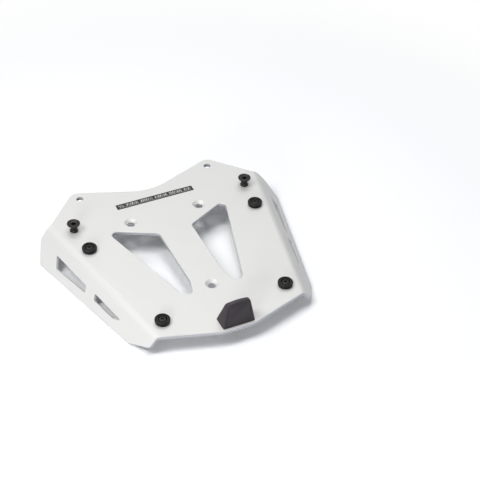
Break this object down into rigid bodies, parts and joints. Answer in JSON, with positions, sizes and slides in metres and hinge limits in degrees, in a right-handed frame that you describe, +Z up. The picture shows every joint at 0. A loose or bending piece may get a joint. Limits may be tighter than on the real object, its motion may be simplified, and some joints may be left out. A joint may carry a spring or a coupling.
{
  "type": "motorcycle luggage rack",
  "caption": "Folded aluminium carrier plate for a motorcycle top case, with two windows, slotted flanks, rubber buffers, mushroom studs and a latch block.",
  "frame": {"origin": "midway between the two front bike bolt holes, on the deck's underside, which bears on the bike", "axes": "+X to the rider's right, +Y forward to the seat, +Z up, square to the deck"},
  "size_m": [0.3282, 0.3052, 0.0699],
  "materials": {
    "silver_plate": "satin",
    "black_label": "printed",
    "black_plastic": "fine grained",
    "black_rubber": "matte",
    "black_steel": "black zinc",
    "zinc_steel": "zinc plated"
  },
  "bodies": {
    "root": {"rack_plate": "silver_plate", "label_strip": "black_label", "latch_block": "black_plastic", "case_stud_left": "black_steel", "stud_washer_left": "zinc_steel", "stud_nut_left": "zinc_steel", "latch_block_screw_left": "black_steel", "latch_block_washer_left": "zinc_steel", "buffer_front_left": "black_rubber", "buffer_screw_front_left": "black_steel", "buffer_washer_front_left": "zinc_steel", "buffer_nut_front_left": "zinc_steel", "buffer_rear_left": "black_rubber", "buffer_screw_rear_left": "black_steel", "buffer_washer_rear_left": "zinc_steel", "buffer_nut_rear_left": "zinc_steel", "case_stud_right": "black_steel", "stud_washer_right": "zinc_steel", "stud_nut_right": "zinc_steel", "latch_block_screw_right": "black_steel", "latch_block_washer_right": "zinc_steel", "buffer_front_right": "black_rubber", "buffer_screw_front_right": "black_steel", "buffer_washer_front_right": "zinc_steel", "buffer_nut_front_right": "zinc_steel", "buffer_rear_right": "black_rubber", "buffer_screw_rear_right": "black_steel", "buffer_washer_rear_right": "zinc_steel", "buffer_nut_rear_right": "zinc_steel"}
  },
  "joints": []
}
